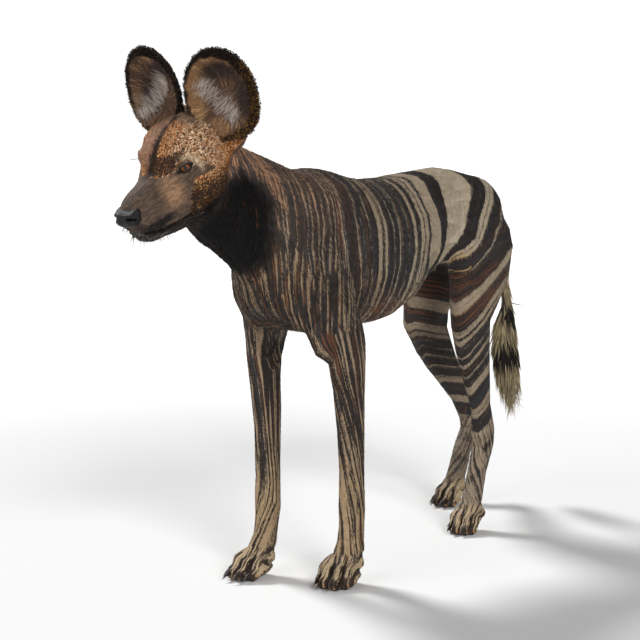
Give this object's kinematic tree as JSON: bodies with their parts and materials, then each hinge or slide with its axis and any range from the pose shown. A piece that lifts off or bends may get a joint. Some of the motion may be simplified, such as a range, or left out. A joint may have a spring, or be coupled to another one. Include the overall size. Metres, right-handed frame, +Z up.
{
  "type": "african wild dog",
  "caption": "Standing life-size African wild dog with large round ears, a striped and blotched short coat, long slim legs and a hanging brush tail.",
  "frame": {"origin": "on the floor under the middle of the whole model's box", "axes": "+Z up, -Y the way the dog faces, +X its left side"},
  "size_m": [0.2718, 1.1922, 0.8867],
  "materials": {
    "coat_dark": "short blackish hair",
    "coat_grey": "short grey-brown hair",
    "coat_ochre": "short ochre hair",
    "coat_tan": "short cream-tan hair",
    "nose_leather": "moist, half gloss",
    "eye_amber": "wet gloss",
    "claw_horn": "horn, half gloss"
  },
  "bodies": {
    "root": {"chest": "coat_grey", "claw_fore_left_1": "claw_horn", "claw_fore_left_2": "claw_horn", "claw_fore_left_3": "claw_horn", "claw_fore_left_4": "claw_horn", "claw_fore_right_1": "claw_horn", "claw_fore_right_2": "claw_horn", "claw_fore_right_3": "claw_horn", "claw_fore_right_4": "claw_horn", "claw_hind_left_1": "claw_horn", "claw_hind_left_2": "claw_horn", "claw_hind_left_3": "claw_horn", "claw_hind_left_4": "claw_horn", "claw_hind_right_1": "claw_horn", "claw_hind_right_2": "claw_horn", "claw_hind_right_3": "claw_horn", "claw_hind_right_4": "claw_horn", "ear_left": "coat_dark", "ear_right": "coat_dark", "eye_left": "eye_amber", "eye_right": "eye_amber", "foreleg_left_lower": "coat_tan", "foreleg_left_upper": "coat_dark", "foreleg_right_lower": "coat_tan", "foreleg_right_upper": "coat_dark", "head": "coat_ochre", "hindleg_left_lower": "coat_tan", "hindleg_left_upper": "coat_dark", "hindleg_right_lower": "coat_tan", "hindleg_right_upper": "coat_dark", "jaw": "coat_dark", "loin": "coat_tan", "neck": "coat_grey", "nose": "nose_leather", "paw_fore_left": "coat_tan", "paw_fore_right": "coat_tan", "paw_hind_left": "coat_tan", "paw_hind_right": "coat_tan", "tail": "coat_tan"}
  },
  "joints": []
}
